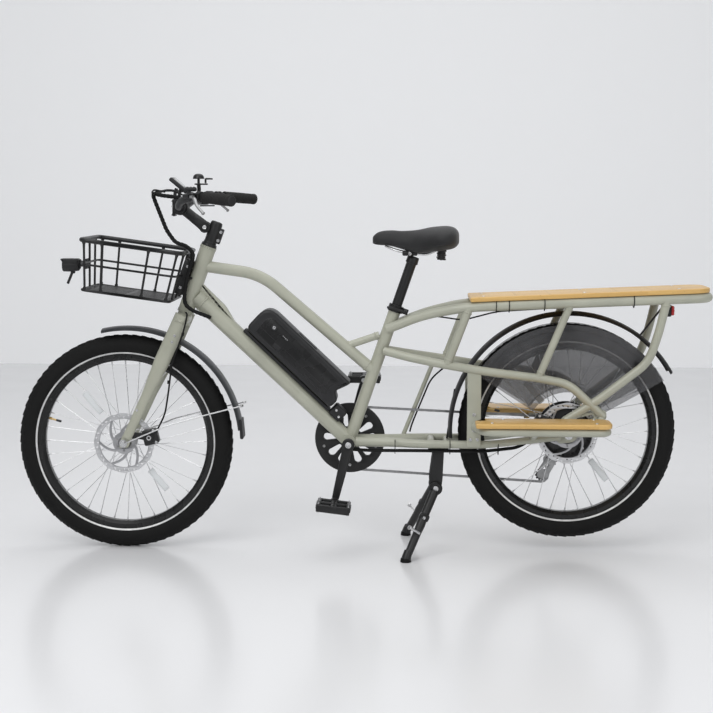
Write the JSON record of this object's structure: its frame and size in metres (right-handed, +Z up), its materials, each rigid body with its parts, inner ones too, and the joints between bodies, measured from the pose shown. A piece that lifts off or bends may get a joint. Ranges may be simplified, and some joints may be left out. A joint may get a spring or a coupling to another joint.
{
  "type": "cargo bicycle",
  "caption": "Longtail electric cargo bicycle with front basket, bamboo deck and footboards, disc brakes, hub motor and a two-leg centre stand.",
  "frame": {"origin": "on the floor under the middle of the whole bicycle's box, standing on its centre stand", "axes": "+X towards the rear of the bicycle, +Y to its right side, +Z up"},
  "size_m": [2.0304, 0.629, 1.11],
  "materials": {
    "painted_sage": "satin",
    "bamboo": "satin",
    "black_plastic": "matte",
    "grey_plastic": "satin",
    "smoked_guard": "satin",
    "red_lens": "gloss",
    "battery_case": "satin",
    "black_metal": "satin",
    "saddle_cover": "soft cover",
    "basket_black": "satin",
    "bright_steel": "brushed",
    "cable_black": "matte",
    "stand_grey": "satin",
    "grip_rubber": "matte",
    "grey_alloy": "satin",
    "rim_black": "satin",
    "tyre_black": "matte"
  },
  "bodies": {
    "frame": {"head_tube": "painted_sage", "top_tube": "painted_sage", "down_tube": "painted_sage", "seat_tube": "painted_sage", "chainstays": "painted_sage", "upper_rails": "painted_sage", "mid_rails": "painted_sage", "rack_struts": "painted_sage", "footboard_frames": "painted_sage", "deck_board": "bamboo", "footboards": "bamboo", "rear_fender": "black_plastic", "skirt_guards": "smoked_guard", "tail_light": "red_lens", "battery_cradle": "black_plastic", "seat_clamp": "black_metal", "basket": "basket_black", "headlight": "black_plastic", "rear_caliper": "black_metal", "derailleur": "bright_steel", "chain": "bright_steel", "frame_cables": "cable_black", "stand_bracket": "stand_grey", "rear_axle": "bright_steel"},
    "battery": {"battery": "battery_case"},
    "clamp_lever": {"seat_clamp_lever": "black_metal"},
    "saddle": {"seatpost": "black_metal", "saddle": "saddle_cover"},
    "guide_pulley": {"guide_pulley": "black_plastic"},
    "tension_pulley": {"tension_pulley": "black_plastic"},
    "stand": {"stand_legs": "stand_grey"},
    "steering": {"fork": "painted_sage", "stem": "black_metal", "stem_arm": "black_metal", "handlebar": "black_metal", "grips": "grip_rubber", "bar_controls": "black_plastic", "display": "black_plastic", "bell": "black_metal", "steering_cables": "cable_black", "front_caliper": "black_metal", "front_fender": "grey_plastic", "front_axle": "black_metal"},
    "brake_lever_left": {"brake_lever_left": "grey_alloy"},
    "brake_lever_right": {"brake_lever_right": "grey_alloy"},
    "shifter_lever": {"shifter_lever": "black_plastic"},
    "bell_lever": {"bell_lever": "black_metal"},
    "front_wheel": {"front_hub": "grey_alloy", "front_rim": "rim_black", "front_tyre": "tyre_black", "front_rotor": "bright_steel"},
    "rear_wheel": {"hub_motor": "black_metal", "rear_rim": "rim_black", "rear_tyre": "tyre_black", "rear_rotor": "bright_steel"},
    "freewheel": {"freewheel": "bright_steel"},
    "crank": {"cranks": "black_metal", "chainring": "black_metal"},
    "pedal_left": {"pedal_left": "black_metal"},
    "pedal_right": {"pedal_right": "black_metal"}
  },
  "joints": [
    {"name": "steer", "type": "hinge", "parent": "frame", "child": "steering", "pos_m": [-0.52175, 0, 0.69], "axis": [0.342, 0, 0.9397], "range_deg": [-45, 45]},
    {"name": "front_wheel_spin", "type": "hinge", "parent": "steering", "child": "front_wheel", "pos_m": [-0.69675, 0, 0.3185], "axis": [0, 1, 0], "continuous": true},
    {"name": "rear_wheel_spin", "type": "hinge", "parent": "frame", "child": "rear_wheel", "pos_m": [0.60575, 0, 0.3585], "axis": [0, 1, 0], "continuous": true},
    {"name": "crank_spin", "type": "hinge", "parent": "frame", "child": "crank", "pos_m": [-0.03275, 0, 0.324], "axis": [0, 1, 0], "continuous": true},
    {"name": "freewheel_spin", "type": "hinge", "parent": "frame", "child": "freewheel", "pos_m": [0.60575, 0, 0.3585], "axis": [0, 1, 0], "continuous": true},
    {"name": "guide_pulley_spin", "type": "hinge", "parent": "frame", "child": "guide_pulley", "pos_m": [0.57125, 0, 0.258], "axis": [0, 1, 0], "continuous": true},
    {"name": "tension_pulley_spin", "type": "hinge", "parent": "frame", "child": "tension_pulley", "pos_m": [0.54125, 0, 0.214], "axis": [0, 1, 0], "continuous": true},
    {"name": "pedal_left_spin", "type": "hinge", "parent": "crank", "child": "pedal_left", "pos_m": [-0.07301, -0.14, 0.15369], "axis": [0, 1, 0], "continuous": true},
    {"name": "pedal_right_spin", "type": "hinge", "parent": "crank", "child": "pedal_right", "pos_m": [0.00751, 0.14, 0.49431], "axis": [0, 1, 0], "continuous": true},
    {"name": "stand_fold", "type": "hinge", "parent": "frame", "child": "stand", "pos_m": [0.22325, 0, 0.19], "axis": [0, -1, 0], "range_deg": [0, 105]},
    {"name": "saddle_height", "type": "slide", "parent": "frame", "child": "saddle", "axis": [0.3251, 0, 0.9457], "range_m": [-0.055, 0.09]},
    {"name": "seat_lever_turn", "type": "hinge", "parent": "frame", "child": "clamp_lever", "pos_m": [0.13085, 0, 0.70765], "axis": [0, 1, 0], "range_deg": [0, 120]},
    {"name": "battery_slide", "type": "slide", "parent": "frame", "child": "battery", "axis": [-0.7266, 0, 0.6871], "range_m": [0, 0.03]},
    {"name": "brake_left_pull", "type": "hinge", "parent": "steering", "child": "brake_lever_left", "pos_m": [-0.46219, -0.2197, 1.04241], "axis": [0, 0, 1], "range_deg": [0, 12], "stiffness_Nm_per_rad": 3},
    {"name": "brake_right_pull", "type": "hinge", "parent": "steering", "child": "brake_lever_right", "pos_m": [-0.46219, 0.2197, 1.04241], "axis": [0, 0, -1], "range_deg": [0, 12], "stiffness_Nm_per_rad": 3},
    {"name": "shifter_push", "type": "hinge", "parent": "steering", "child": "shifter_lever", "pos_m": [-0.48529, 0.17503, 1.02441], "axis": [0, 0, -1], "range_deg": [0, 20], "stiffness_Nm_per_rad": 0.5},
    {"name": "bell_flick", "type": "hinge", "parent": "steering", "child": "bell_lever", "pos_m": [-0.46975, 0.118, 1.088], "axis": [0, 0, 1], "range_deg": [0, 25], "stiffness_Nm_per_rad": 0.05}
  ],
  "couplings": [
    {"joint": "freewheel_spin", "follows": "crank_spin", "ratio": 3.1959},
    {"joint": "guide_pulley_spin", "follows": "crank_spin", "ratio": -4.3796},
    {"joint": "tension_pulley_spin", "follows": "crank_spin", "ratio": 4.3796}
  ]
}
